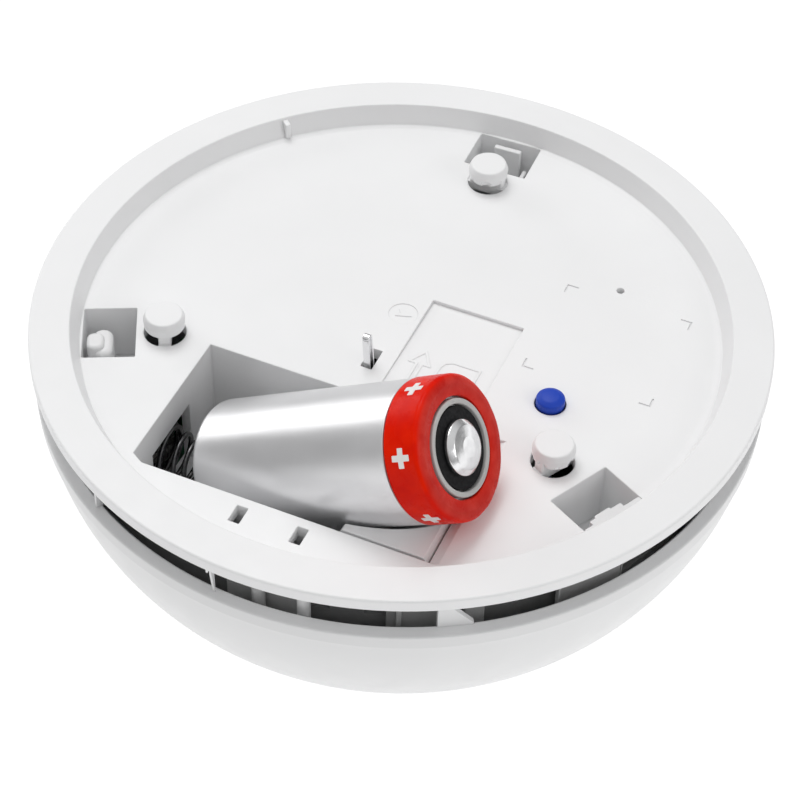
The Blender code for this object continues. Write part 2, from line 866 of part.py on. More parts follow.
def make_small_parts(black, white, steel, amber, copper):
    floor = BOARD_Z[1] + GAP
    under = BOARD_Z[0] - GAP
    made = [
        block("controller_chip", (-30.0, -8.0, floor), (-23.0, -1.0, floor + 1.0), black),
        block("radio_module", (14.0, 3.0, floor), (25.0, 17.0, floor + 2.6), steel),
        block("link_switch_body", (18.6, -7.6, floor), (24.6, -1.6, floor + 1.3), black),
        block("test_switch", (-3.0, -3.0, under - 1.5), (3.0, 3.0, under), black),
        cylinder("supply_capacitor", -25.5, 5.0, 3.1, floor, floor + 9.0, amber, 20),
        cylinder("boost_inductor", -23.5, 16.0, 3.4, floor, floor + 5.5, copper, 20),
        block("status_led", (-1.3, 9.4, under - 2.0), (1.3, 12.0, under), white),
        block("tamper_pad", (-2.6, -9.6, floor), (0.4, -6.4, floor + 0.5), steel),
    ]
    antenna = wire("antenna_coil", coil_points(5, 1.9, 1.9, 0.0, 9.0, 10), 0.35, copper)
    place(antenna, 29.0, 3.5, floor + 0.4)
    return made + [antenna]


# --- Assembly -------------------------------------------------------------------------------


def clear_scene():
    for item in list(bpy.data.objects):
        bpy.data.objects.remove(item, do_unlink=True)


def main():
    clear_scene()
    white = material("white_plastic", (0.86, 0.86, 0.87), 0.42)
    black = material("black_plastic", (0.02, 0.02, 0.022), 0.5)
    grey = material("grey_plastic", (0.45, 0.44, 0.43), 0.5)
    steel = material("steel", (0.62, 0.62, 0.63), 0.3, 1.0)
    chrome = material("chrome_plate", (0.8, 0.8, 0.81), 0.12, 1.0)
    clear = material("clear_plastic", (0.85, 0.9, 0.92), 0.2)

    make_back_cover(white)
    make_front_cover(white)
    make_smoke_baffle(material("baffle_plastic", (0.06, 0.06, 0.065), 0.6))
    make_cell(
        material("silver_film", (0.7, 0.7, 0.71), 0.32, 1.0),
        material("red_sleeve", (0.75, 0.03, 0.01), 0.3),
        grey,
        black,
        chrome,
    )
    make_lift_flap(white)
    make_lift_spring(steel)
    make_contacts(material("nickel_plate", (0.55, 0.53, 0.5), 0.3, 1.0))
    make_test_button(white, clear, steel)
    make_link_button(material("blue_plastic", (0.0, 0.06, 0.5), 0.35))
    make_tamper_leaf(chrome)
    make_board(material("board_green", (0.02, 0.2, 0.08), 0.45))
    make_screws(steel)
    make_chamber(black, material("screen_mesh", (0.3, 0.3, 0.31), 0.5, 0.8), clear)
    make_sounder(black, material("brass_sheet", (0.75, 0.55, 0.2), 0.3, 1.0))
    make_small_parts(
        black,
        white,
        steel,
        material("capacitor_sleeve", (0.05, 0.1, 0.3), 0.4),
        material("copper_wire", (0.7, 0.35, 0.15), 0.35, 1.0),
    )


main()
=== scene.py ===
"""Looks of the battery smoke detector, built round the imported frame.

Lengths are in millimetres and angles in degrees; the origin lies under the middle of the domed
front, +Z points to the mounting side, and +X runs along the lithium cell.
"""

import math

import bmesh
import bpy
from mathutils import Matrix, Vector, noise


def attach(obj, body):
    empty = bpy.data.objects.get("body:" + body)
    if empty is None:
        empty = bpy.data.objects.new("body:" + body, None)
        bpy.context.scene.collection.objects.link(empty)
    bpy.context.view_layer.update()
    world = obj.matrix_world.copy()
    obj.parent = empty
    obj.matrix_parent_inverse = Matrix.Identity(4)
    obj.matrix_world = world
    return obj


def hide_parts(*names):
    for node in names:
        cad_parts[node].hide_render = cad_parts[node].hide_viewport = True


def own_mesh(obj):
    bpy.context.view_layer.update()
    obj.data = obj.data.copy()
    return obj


MM = 0.001

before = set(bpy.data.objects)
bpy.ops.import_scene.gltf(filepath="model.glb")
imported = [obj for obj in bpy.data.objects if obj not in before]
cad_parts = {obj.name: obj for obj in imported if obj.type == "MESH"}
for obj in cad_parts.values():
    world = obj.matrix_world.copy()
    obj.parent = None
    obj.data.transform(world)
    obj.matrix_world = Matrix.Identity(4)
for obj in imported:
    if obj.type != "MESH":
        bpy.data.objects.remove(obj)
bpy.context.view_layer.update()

# Overall form, as in the frame
BODY_RADIUS = 46.0
TOP = 40.0
RIM_INNER = 40.95
RECESS_RADIUS = 39.9
RIM_UNDER = TOP - 1.66
FLOOR = TOP - 2.67
FLOOR_UNDER = FLOOR - 1.7
BOX_WALL = 1.2

# Dome: a side arc that runs into a tighter arc, under a straight band at the lip
SIDE_ARC, SIDE_ARC_R = 38.9, 6.8
FRONT_ARC = 27.6
ARC_JOIN = 46.0
DRAFT = 8.1
DOME_WALL = 1.9
BOX_INSET = DOME_WALL + 0.5  # battery box in from the dome's outer face
LIP = 33.3
BAND_LOW = 31.2
WELL_RADIUS = 12.0

# Battery compartment
BAY_X = (-20.2, 19.1)
BAY_Y = (-33.6, -12.7)
BAY_BOTTOM = 17.7
BAY_CIRCLE = 38.4

# Stations: radius and angle of each mounting post, with a snap-hook pocket outboard
STATIONS = ((30.5, 91.5), (29.4, 206.3), (28.5, 332.3))
POST_HOLE = 2.62
POCKET_R = (33.0, 39.6)
POCKET_HALF = 4.3
POCKET_WALL = 1.0
POCKET_LOW = FLOOR - 8.3

LINK_XY = (21.6, -4.6)
LINK_HOLE = 1.94
LEAF_X = (-1.55, -0.65)
LEAF_Y = (-8.0, -6.8)
LEAF_HOLE = ((-1.9, -8.35), (-0.4, -4.9))
SLOT_CENTRES = ((-4.7, -36.15), (3.0, -36.15))
RESET_HOLE_XY = (22.6, 17.8)
DIAL_XY = (-0.8, 2.3)
BOARD_UNDER = 14.5
SCREW_PLACES = ((30.0, 22.0), (30.0, 90.0), (30.0, 160.0))
STAND_ANGLES = (14, 38, 62, 118, 142, 166, 190)

# Printed guide panel beside the compartment: a shallow recess that slopes up to the bay
PANEL_X = (1.65, 13.95)
PANEL_Y = (BAY_Y[1] - 0.6, 6.2)
PANEL_DEPTH = (0.16, 0.5)

# Cell and flap seats
CELL_SEAT = (-11.3, -23.9, 29.95)
CELL_TILT = 30.0
CELL_RADIUS = 8.4
COLLAR_RADIUS = 8.5
FLAP_SEAT = (-13.8, 0.0, 27.75)
FLAP_TILT = 31.0

FINE = 240  # facets round the covers
ROUND_STEPS = 5


# --- Plane outlines -------------------------------------------------------------------------


def polar(radius, angle):
    """Point at a radius and an angle in degrees."""
    return Vector((radius * math.cos(math.radians(angle)), radius * math.sin(math.radians(angle))))


def arc(centre, radius, start, end, steps):
    """Points along an arc, both ends included."""
    middle = Vector(centre)
    return [middle + polar(radius, start + (end - start) * i / steps) for i in range(steps + 1)]


def rounded(corners, sizes, steps=ROUND_STEPS):
    """Closed outline through the corners, each turned into an arc of its own size."""
    outline = []
    for i, corner in enumerate(corners):
        here = Vector(corner)
        if not sizes[i]:
            outline.append(here)
            continue
        back = (Vector(corners[i - 1]) - here).normalized()
        ahead = (Vector(corners[(i + 1) % len(corners)]) - here).normalized()
        half = back.angle(ahead) / 2
        centre = here + (back + ahead).normalized() * sizes[i] / math.sin(half)
        start = here + back * sizes[i] / math.tan(half) - centre
        end = here + ahead * sizes[i] / math.tan(half) - centre
        turn = math.atan2(start.x * end.y - start.y * end.x, start.dot(end))
        for step in range(steps + 1):
            outline.append(centre + Matrix.Rotation(turn * step / steps, 2) @ start)
    return outline


def profile(*corners):
    """Closed outline from corners (radius, z) or (radius, z, rounding)."""
    return rounded([c[:2] for c in corners], [c[2] if len(c) > 2 else 0.0 for c in corners])


def grown(corners, grow):
    """Corners of an anticlockwise outline, moved out square to its sides."""
    moved = []
    for i, corner in enumerate(corners):
        here = Vector(corner)
        before = (here - Vector(corners[i - 1])).normalized()
        after = (Vector(corners[(i + 1) % len(corners)]) - here).normalized()
        one, two = Vector((before.y, -before.x)), Vector((after.y, -after.x))
        moved.append(here + (one + two) * grow / (1 + one.dot(two)))
    return moved


def shape(corners, corner=0.1):
    """Function from a growth to the rounded outline grown by it."""
    return lambda grow=0.0: rounded(
        grown(corners, grow), [max(corner + grow, 0.02)] * len(corners)
    )


def rectangle(low, high, corner=0.1, turn=0.0):
    """Rounded rectangle between two corners, turned about the origin; see shape."""
    corners = [(low[0], low[1]), (high[0], low[1]), (high[0], high[1]), (low[0], high[1])]
    spin = Matrix.Rotation(math.radians(turn), 2)
    return shape([spin @ Vector(c) for c in corners], corner)


def disc(x, y, radius, steps=64):
    return lambda grow=0.0: [
        Vector((x, y)) + polar(radius + grow, 360.0 * i / steps) for i in range(steps)
    ]


# --- Solid forms: (points, faces) in millimetres --------------------------------------------


def quarter(steps=ROUND_STEPS):
    """(1 - cosine, sine) pairs over a quarter turn."""
    angles = [math.pi / 2 * i / steps for i in range(steps + 1)]
    return [(1 - math.cos(a), math.sin(a)) for a in angles]


def hole_levels(low, top, soft):
    """(growth, z) up a hole whose mouth at top is rounded over."""
    return [(0.0, low)] + [(soft * c, top - soft + soft * s) for c, s in quarter()] + [(soft, top + 2)]


def boss_levels(low, top, soft):
    """(growth, z) up a boss whose top edge is rounded."""
    return [(0.0, low)] + [(-soft * c, top - soft + soft * s) for c, s in quarter()]


def slab_levels(low, top, soft):
    """(growth, z) up a slab with both edges rounded."""
    under = [(-soft * c, low + soft - soft * s) for c, s in quarter()][::-1]
    return under + boss_levels(low + soft, top, soft)[1:]


def loft(loops, closed=False):
    """Skin over loops of equal length, with end caps unless it closes on itself."""
    count = len(loops[0])
    points = [tuple(p) for loop in loops for p in loop]
    pairs = list(zip(range(len(loops) - 1), range(1, len(loops))))
    faces = []
    if closed:
        pairs.append((len(loops) - 1, 0))
    else:
        faces.append(list(range(count)))
        faces.append(list(range(count * (len(loops) - 1), count * len(loops))))
    for a, b in pairs:
        for i in range(count):
            j = (i + 1) % count
            faces.append([a * count + i, a * count + j, b * count + j, b * count + i])
    return points, faces


def stack(outline, levels, closed=False):
    """Form from an outline function at each (growth, height); a height may depend on (x, y)."""
    loops = []
    for grow, height in levels:
        flat = outline(grow)
        loops.append([(p.x, p.y, height(p.x, p.y) if callable(height) else height) for p in flat])
    return loft(loops, closed)


def hole(outline, low, top=FLOOR, soft=0.2):
    """Cutter whose mouth is rounded over."""
    return stack(outline, hole_levels(low, top, soft))


def slab(outline, low, top, soft=0.1):
    return stack(outline, slab_levels(low, top, soft))


def spun(outline, steps=FINE):
    """Form from a closed (radius, z) outline turned round the Z axis."""
    points, faces, rings = [], [], []
    for r, z in outline:
        if r < 1e-6:
            rings.append(None)
            continue
        rings.append(len(points))
        for i in range(steps):
            points.append((*polar(r, 360.0 * i / steps), z))
    for a, b in zip(rings, rings[1:] + rings[:1]):
        if a is None and b is None:
            continue
        if a is None or b is None:
            start = b if a is None else a
            faces.append(list(range(start, start + steps)))
            continue
        for i in range(steps):
            j = (i + 1) % steps
            faces.append([a + i, a + j, b + j, b + i])
    return points, faces


def sweep(path, section, axis):
    """Form of a section carried along a path, kept square to the given axis."""
    knots = [Vector(p) for p in path]
    loops = []
    for i, knot in enumerate(knots):
        ahead = (knots[min(i + 1, len(knots) - 1)] - knots[max(i - 1, 0)]).normalized()
        side = (Vector(axis) - ahead * ahead.dot(Vector(axis))).normalized()
        up = ahead.cross(side)
        loops.append([knot + side * s.x + up * s.y for s in section])
    return loft(loops)


def moved(form, x=0.0, y=0.0, z=0.0, turn=0.0):
    """The form turned about the Z axis, then shifted."""
    place = Matrix.Translation((x, y, z)) @ Matrix.Rotation(math.radians(turn), 4, "Z")
    return [tuple(place @ Vector(p)) for p in form[0]], form[1]


def together(forms):
    """One form made of several."""
    points, faces = [], []
    for some_points, some_faces in forms:
        faces += [[len(points) + i for i in face] for face in some_faces]
        points += some_points
    return points, faces


# --- Objects --------------------------------------------------------------------------------


def solid(name, form, surface=None):
    """Object from a form, faces out and sized to metres."""
    mesh = bmesh.new()
    corners = [mesh.verts.new(Vector(p) * MM) for p in form[0]]
    for face in form[1]:
        mesh.faces.new([corners[i] for i in face])
    bmesh.ops.recalc_face_normals(mesh, faces=mesh.faces)
    data = bpy.data.meshes.new(name)
    mesh.to_mesh(data)
    mesh.free()
    made = bpy.data.objects.new(name, data)
    bpy.context.scene.collection.objects.link(made)
    if surface:
        data.materials.append(surface)
    return made


def combine(target, forms, operation):
    """Boolean of an object with all the forms at once."""
    tool = solid("tool", together(forms))
    step = target.modifiers.new("combine", "BOOLEAN")
    step.operation = operation
    step.solver = "EXACT"
    step.use_self = True
    step.object = tool
    graph = bpy.context.evaluated_depsgraph_get()
    result = bpy.data.meshes.new_from_object(target.evaluated_get(graph))
    target.modifiers.clear()
    target.data = result
    bpy.data.objects.remove(tool)


def form_of(made):
    """Form of an object, which is removed."""
    form = [tuple(v.co / MM) for v in made.data.vertices], [list(p.vertices) for p in made.data.polygons]
    bpy.data.objects.remove(made)
    return form


def clipped(form, room):
    """The part of a form that lies inside another."""
    made = solid("clipped", form)
    combine(made, [room], "INTERSECT")
    return form_of(made)


def smooth(piece, angle=30.0):
    """Soft shading that stays crisp at the edges."""
    mesh = bmesh.new()
    mesh.from_mesh(piece.data)
    bmesh.ops.remove_doubles(mesh, verts=mesh.verts, dist=1e-7)
    bmesh.ops.dissolve_degenerate(mesh, edges=mesh.edges, dist=1e-7)
    mesh.to_mesh(piece.data)
    mesh.free()
    piece.data.shade_smooth()
    piece.data.set_sharp_from_angle(angle=math.radians(angle))
    weigh = piece.modifiers.new("even_shading", "WEIGHTED_NORMAL")
    weigh.keep_sharp = True
    return piece


def settle(piece, body, slot, *nodes):
    """Finishes a piece: its shading, the body it rides on and the nodes it stands for; the slot argument is
    not used.
    """
    smooth(piece)
    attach(piece, body)
    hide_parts(*nodes)
    return piece


# --- Materials ------------------------------------------------------------------------------


class Surface:
    """A node material under construction; fixed values go straight onto the shader's sockets."""

    def __init__(self, name, colour, roughness, **fixed):
        self.material = bpy.data.materials.new(name)
        self.material.use_nodes = True
        self.tree = self.material.node_tree
        self.shader = self.tree.nodes["Principled BSDF"]
        self.colour = colour
        self.shader.inputs["Base Color"].default_value = (*colour, 1.0)
        self.shader.inputs["Roughness"].default_value = roughness
        for socket, value in fixed.items():
            self.shader.inputs[socket.replace("_", " ")].default_value = value
        self.place = self.node("TexCoord").outputs["Object"]

    def node(self, kind, values=None, **settings):
        item = self.tree.nodes.new("ShaderNode" + kind)
        for key, value in settings.items():
            setattr(item, key, value)
        for socket, value in (values or {}).items():
            if isinstance(value, bpy.types.NodeSocket):
                self.tree.links.new(value, item.inputs[socket])
            else:
                item.inputs[socket].default_value = value
        return item

    def drive(self, socket, value):
        self.tree.links.new(value, self.shader.inputs[socket])

    def stretched(self, stretch):
        return self.node("Mapping", {"Vector": self.place, "Scale": stretch}).outputs[0]

    def clouds(self, size, detail=3.0, stretch=None):
        """Noise from 0 to 1 with features of the given size in millimetres."""
        vector = self.stretched(stretch) if stretch else self.place
        values = {"Vector": vector, "Scale": 1.0 / (size * MM), "Detail": detail}
        return self.node("TexNoise", values).outputs[0]

    def between(self, factor, low, high, start=0.3, end=0.7):
        values = {"Value": factor, "From Min": start, "From Max": end, "To Min": low, "To Max": high}
        return self.node("MapRange", values).outputs[0]

    def mixed(self, factor, one, two):
        """Colour between two, each a colour or a socket."""
        mix = self.node("Mix", {0: factor}, data_type="RGBA")
        for slot, value in ((6, one), (7, two)):
            if isinstance(value, bpy.types.NodeSocket):
                self.tree.links.new(value, mix.inputs[slot])
            else:
                mix.inputs[slot].default_value = (*value, 1.0)
        return mix.outputs[2]

    def maths(self, operation, one, two):
        return self.node("Math", {0: one, 1: two}, operation=operation).outputs[0]

    def vary(self, spread, size, detail=3.0):
        """Colour that drifts by a share of itself."""
        darker = tuple(c * (1 - spread) for c in self.colour)
        lighter = tuple(min(c * (1 + spread), 1.0) for c in self.colour)
        return self.mixed(self.between(self.clouds(size, detail), 0.0, 1.0), darker, lighter)

    def painted_corner_shade(self, colour, reach, shade):
        """Colour with painted shade: it turns towards the given shade in tight corners that ambient occlusion
        finds.
        """
        open_sky = self.node("AmbientOcclusion", {"Distance": reach * MM}, samples=8).outputs["AO"]
        corner = self.between(open_sky, 1.0, 0.0, 0.35, 0.95)
        return self.mixed(corner, colour, shade)

    def raise_by(self, height, depth, strength=1.0, under=None):
        values = {"Height": height, "Distance": depth * MM, "Strength": strength}
        if under:
            values["Normal"] = under
        return self.node("Bump", values).outputs[0]

    def scuffed(self, low, high, size, detail=4.0, stretch=None):
        self.drive("Roughness", self.between(self.clouds(size, detail, stretch), low, high))


def moulded_plastic(name, colour, gloss=0.42, grain=0.012, shade=0.84):
    """Spark-textured moulded plastic whose colour carries painted shade that darkens its corners."""
    made = Surface(name, colour, gloss, Specular_IOR_Level=0.42)
    drift = made.vary(0.012, 14.0)
    # Painted shade: ambient occlusion darkens the base colour in corners and creases.
    made.drive("Base Color", made.painted_corner_shade(drift, 0.5, tuple(c * shade for c in colour)))
    made.scuffed(gloss - 0.06, gloss + 0.1, 3.0)
    coarse = made.raise_by(made.clouds(0.9, 2.0), grain * 1.5, 0.5)
    made.drive("Normal", made.raise_by(made.clouds(0.22, 3.0), grain, 0.6, coarse))
    return made.material


def dome_plastic():
    """Satin white, darker than the back cover's white as painted shade, with a greyer band round the lip."""
    # Painted shade: the dome's white is a darker copy of the back cover's white (0.865).
    white, band = (0.79, 0.792, 0.796), (0.76, 0.762, 0.766)
    made = Surface("dome_white", white, 0.34, Specular_IOR_Level=0.5)
    height = made.node("SeparateXYZ", {"Vector": made.place}).outputs["Z"]
    upper = made.between(height, 0.0, 1.0, (BAND_LOW - 0.04) * MM, (BAND_LOW + 0.02) * MM)
    below_rim = made.between(height, 1.0, 0.0, LIP * MM, (LIP + 0.1) * MM)
    on_band = made.maths("MULTIPLY", upper, below_rim)
    made.drive("Base Color", made.mixed(on_band, made.vary(0.012, 14.0), band))
    made.scuffed(0.28, 0.42, 3.0)
    coarse = made.raise_by(made.clouds(0.9, 2.0), 0.008, 0.5)
    made.drive("Normal", made.raise_by(made.clouds(0.22), 0.006, 0.6, coarse))
    return made.material


def black_plastic(name, colour, gloss):
    made = Surface(name, colour, gloss)
    made.drive("Base Color", made.vary(0.25, 2.5, 5.0))
    made.scuffed(gloss - 0.12, gloss + 0.15, 1.2)
    made.drive("Normal", made.raise_by(made.clouds(0.18), 0.02, 0.7))
    return made.material


def bare_metal(name, colour, gloss, stretch=(1.0, 1.0, 12.0), streak=0.35):
    """Drawn or brushed metal with fine parallel streaks and faint stains."""
    made = Surface(name, colour, gloss, Metallic=1.0)
    stained = made.vary(0.06, 4.0, 5.0)
    lines = made.clouds(streak, 3.0, stretch)
    made.drive("Base Color", made.mixed(made.between(lines, 0.0, 0.25), stained, (0.3, 0.3, 0.3)))
    made.scuffed(gloss - 0.06, gloss + 0.12, streak * 2, 3.0, stretch)
    made.drive("Normal", made.raise_by(lines, 0.004, 0.5))
    return made.material


def silver_film():
    """Metallised sleeve with a fine frosted grain."""
    made = Surface("silver", (0.80, 0.80, 0.81), 0.3, Metallic=0.92, Specular_IOR_Level=0.5)
    made.drive("Base Color", made.vary(0.025, 6.0, 5.0))
    frost = made.clouds(0.3, 2.0)
    made.drive("Roughness", made.between(made.clouds(2.5, 2.0, (1.0, 1.0, 0.3)), 0.34, 0.41))
    made.drive("Normal", made.raise_by(frost, 0.002, 0.25))
    return made.material


def red_film():
    """Clear red shrink film: deep on the side, paler and patchy where it folds over the end."""
    gloss = {"Coat_Weight": 0.02, "Coat_Roughness": 0.1, "Specular_IOR_Level": 0.06}
    made = Surface("red", (0.9, 0.03, 0.0), 0.28, **gloss)
    height = made.node("SeparateXYZ", {"Vector": made.place}).outputs["Z"]
    on_end = made.between(height, 0.0, 1.0, 33.1 * MM, 33.4 * MM)
    patches = made.between(made.clouds(2.6, 4.0), 0.25, 0.95, 0.35, 0.65)
    side = made.mixed(made.between(made.clouds(5.0, 4.0), 0.0, 1.0), (0.92, 0.022, 0.0), (0.66, 0.003, 0.0))
    face = made.mixed(patches, (0.5, 0.006, 0.003), (0.64, 0.045, 0.032))
    made.drive("Base Color", made.mixed(on_end, side, face))
    made.scuffed(0.2, 0.4, 1.6)
    folds = made.clouds(1.8, 3.0, (1.0, 1.0, 0.3))
    made.drive("Normal", made.raise_by(folds, 0.12, 0.5, made.raise_by(made.clouds(0.3), 0.02, 0.5)))
    return made.material


def chrome_plate():
    made = Surface("chrome", (0.86, 0.86, 0.87), 0.12, Metallic=1.0)
    made.drive("Base Color", made.vary(0.05, 1.5, 5.0))
    made.scuffed(0.14, 0.26, 0.8, 5.0)
    made.drive("Normal", made.raise_by(made.clouds(0.5), 0.001, 0.2))
    return made.material


def insulating_paper():
    made = Surface("fibre_paper", (0.009, 0.009, 0.01), 0.6, Specular_IOR_Level=0.15)
    made.drive("Base Color", made.vary(0.35, 0.5, 5.0))
    made.scuffed(0.45, 0.75, 0.4)
    made.drive("Normal", made.raise_by(made.clouds(0.16, 5.0), 0.03, 0.8))
    return made.material


def printed_white():
    made = Surface("print", (0.88, 0.86, 0.85), 0.35, Coat_Weight=0.4)
    made.drive("Base Color", made.vary(0.03, 0.8, 4.0))
    made.scuffed(0.28, 0.45, 0.7)
    return made.material


def frosted_lens():
    made = Surface("lens", (0.86, 0.89, 0.9), 0.3, Transmission_Weight=0.55, IOR=1.49)
    made.drive("Base Color", made.vary(0.02, 3.0))
    made.scuffed(0.22, 0.42, 0.8)
    made.drive("Normal", made.raise_by(made.clouds(0.35), 0.02, 0.5))
    return made.material


def circuit_board():
    """Green solder mask over tracks, with tinned pads."""
    made = Surface("board", (0.012, 0.12, 0.05), 0.35)
    cells = made.node("TexVoronoi", {"Vector": made.place, "Scale": 420.0}, distance="MANHATTAN")
    edges = made.node(
        "TexVoronoi",
        {"Vector": made.place, "Scale": 260.0},
        feature="DISTANCE_TO_EDGE",
    )
    tracks = made.between(edges.outputs[0], 1.0, 0.0, 0.05, 0.08)
    pads = made.between(cells.outputs[0], 1.0, 0.0, 0.12, 0.14)
    mask = made.mixed(tracks, made.vary(0.12, 5.0), (0.03, 0.24, 0.10))
    made.drive("Base Color", made.mixed(pads, mask, (0.62, 0.6, 0.56)))
    made.drive("Metallic", pads)
    made.scuffed(0.26, 0.45, 2.0)
    made.drive("Normal", made.raise_by(made.maths("ADD", tracks, pads), 0.03, 0.7))
    return made.material


def wire_screen():
    """Woven mesh: bright wires over dark openings."""
    made = Surface("screen", (0.3, 0.3, 0.31), 0.45, Metallic=0.8)
    waves = [
        made.node("TexWave", {"Vector": made.place, "Scale": 320.0}, bands_direction=way).outputs[1]
        for way in ("X", "Z")
    ]
    weave = made.maths("MAXIMUM", *waves)
    made.drive("Base Color", made.mixed(weave, (0.01, 0.01, 0.01), (0.42, 0.42, 0.43)))
    made.drive("Normal", made.raise_by(weave, 0.1, 0.8))
    return made.material


def wound_copper():
    made = Surface("copper", (0.62, 0.29, 0.12), 0.3, Metallic=1.0, Coat_Weight=0.5)
    turns = made.node("TexWave", {"Vector": made.place, "Scale": 900.0}, bands_direction="Z")
    made.drive("Base Color", made.mixed(turns.outputs[1], (0.32, 0.13, 0.05), (0.7, 0.36, 0.17)))
    made.scuffed(0.2, 0.4, 0.8)
    made.drive("Normal", made.raise_by(turns.outputs[1], 0.08, 0.7))
    return made.material


def sleeved_capacitor():
    """Blue-black sleeve with one pale stripe down its side."""
    made = Surface("capacitor", (0.02, 0.04, 0.12), 0.3, Coat_Weight=0.4)
    x = made.node("SeparateXYZ", {"Vector": made.place}).outputs["X"]
    stripe = made.between(x, 1.0, 0.0, -28.2 * MM, -28.0 * MM)
    made.drive("Base Color", made.mixed(stripe, made.vary(0.2, 1.5), (0.5, 0.52, 0.55)))
    made.scuffed(0.24, 0.42, 1.0)
    made.drive("Normal", made.raise_by(made.clouds(0.8), 0.04, 0.5))
    return made.material


def make_surfaces():
    white = (0.865, 0.867, 0.872)
    return {
        "white": moulded_plastic("white", white),
        "dome_white": dome_plastic(),
        "dark": moulded_plastic("dark", (0.2, 0.2, 0.202), 0.5, 0.02),
        "smoky": moulded_plastic("smoky", (0.42, 0.42, 0.42), 0.45, 0.03),
        "silver": silver_film(),
        "red": red_film(),
        "grey": moulded_plastic("grey", (0.5, 0.49, 0.48), 0.4, 0.02),
        "black": black_plastic("black", (0.02, 0.02, 0.022), 0.45),
        "paper": insulating_paper(),
        "print": printed_white(),
        "chrome": chrome_plate(),
        "steel": bare_metal("steel", (0.6, 0.6, 0.61), 0.3),
        # Painted shade: the nickel's dark base colour makes the contact plate in the shaded window at the
        # cell's negative end look dark.
        "nickel": bare_metal("nickel", (0.22, 0.21, 0.2), 0.24, (6.0, 1.0, 1.0)),
        # Painted shade: a dark base colour makes the shiny contact spring look dark in its shaded window.
        "shade_darkened_wire": bare_metal("shade_darkened_wire", (0.12, 0.12, 0.122), 0.14, (4.0, 1.0, 1.0)),
        "brass": bare_metal("brass", (0.72, 0.5, 0.2), 0.3, (1.0, 8.0, 1.0)),
        "lens": frosted_lens(),
        "blue": moulded_plastic("blue", (0.0, 0.045, 0.46), 0.45, 0.02, 0.5),
        "board": circuit_board(),
        "screen": wire_screen(),
        "capacitor": sleeved_capacitor(),
        "copper": wound_copper(),
    }


# --- Back cover -----------------------------------------------------------------------------


def dome_line(inset, top, steps):
    """(radius, z) points down the dome, moved in by inset, from top to the flat ring."""
    rise = (SIDE_ARC - FRONT_ARC) * math.sin(math.radians(ARC_JOIN))
    reach = (SIDE_ARC - FRONT_ARC) * math.cos(math.radians(ARC_JOIN))
    side = arc((SIDE_ARC_R, FRONT_ARC + rise), SIDE_ARC - inset, -DRAFT, -ARC_JOIN, steps)
    front = arc((SIDE_ARC_R + reach, FRONT_ARC), FRONT_ARC - inset, -ARC_JOIN, -90.0, steps)
    flare = math.tan(math.radians(DRAFT)) * (top - side[0].y)
    return [Vector((side[0].x + flare, top))] + side + front[1:]


def bay_outline(grow):
    """Compartment outline with its two outer corners cut off where they would meet the dome."""
    west, east = BAY_X[0] - grow, BAY_X[1] + grow
    south, north = BAY_Y[0] - grow, BAY_Y[1] + grow
    circle = BAY_CIRCLE + grow
    corners = [
        (west, north),
        (west, -math.sqrt(circle**2 - west**2)),
        (-math.sqrt(circle**2 - south**2), south),
        (math.sqrt(circle**2 - south**2), south),
        (east, -math.sqrt(circle**2 - east**2)),
        (east, north),
    ]
    return shape(corners, 0.12 + grow / 2)


def clear_of_dome(inset):
    """Form of the room inside the dome, moved in by inset."""
    return spun([(0.0, 45.0)] + dome_line(inset, 45.0, 12)[:-1] + [(0.0, 4.0)], 96)


def panel_floor(lift=0.0):
    """Height of the guide panel's sloping floor."""
    slope = (PANEL_DEPTH[1] - PANEL_DEPTH[0]) / (PANEL_Y[1] - BAY_Y[1])
    return lambda x, y: FLOOR - PANEL_DEPTH[0] - slope * (y - BAY_Y[1]) + lift


def raised_line(corners, width=0.34, lift=0.11):
    """Raised line of the given width along a closed outline on the guide panel."""
    outline = shape(corners, 0.12)
    levels = [
        (0.0, panel_floor(-0.3)),
        (0.0, panel_floor(lift - 0.05)),
        (-0.06, panel_floor(lift)),
        (0.06 - width, panel_floor(lift)),
        (-width, panel_floor(lift - 0.05)),
        (-width, panel_floor(-0.3)),
    ]
    return stack(outline, levels, closed=True)


def cover_plate():
    return spun(
        profile(
            (0.0, FLOOR),
            (0.0, FLOOR_UNDER),
            (42.0, FLOOR_UNDER, 0.2),
            (42.35, RIM_UNDER, 0.15),
            (BODY_RADIUS, RIM_UNDER, 0.1),
            (BODY_RADIUS, TOP, 0.3),
            (RIM_INNER, TOP, 0.22),
            (RECESS_RADIUS, FLOOR, 0.2),
            (39.3, FLOOR),
            (39.2, FLOOR - 0.03),
            (38.7, FLOOR - 0.03),
            (38.6, FLOOR),
        )
    )


def pocket(turn):
    return rectangle((POCKET_R[0], -POCKET_HALF), (POCKET_R[1], POCKET_HALF), 0.2, turn)


def corner_marks():
    """Four fine L-shaped grooves round the radio's tuning area."""
    arms = []
    for x, y, toward_x, toward_y in (
        (16.2, 0.0, 1, 1),
        (32.7, 0.0, -1, 1),
        (32.7, 16.0, -1, -1),
        (16.2, 16.0, 1, -1),
    ):
        for length_x, length_y in ((1.3 * toward_x, 0.0), (0.0, 1.3 * toward_y)):
            low = (min(x, x + length_x) - 0.1, min(y, y + length_y) - 0.1)
            high = (max(x, x + length_x) + 0.1, max(y, y + length_y) + 0.1)
            arms.append(hole(rectangle(low, high, 0.05), FLOOR - 0.14, soft=0.06))
    return arms


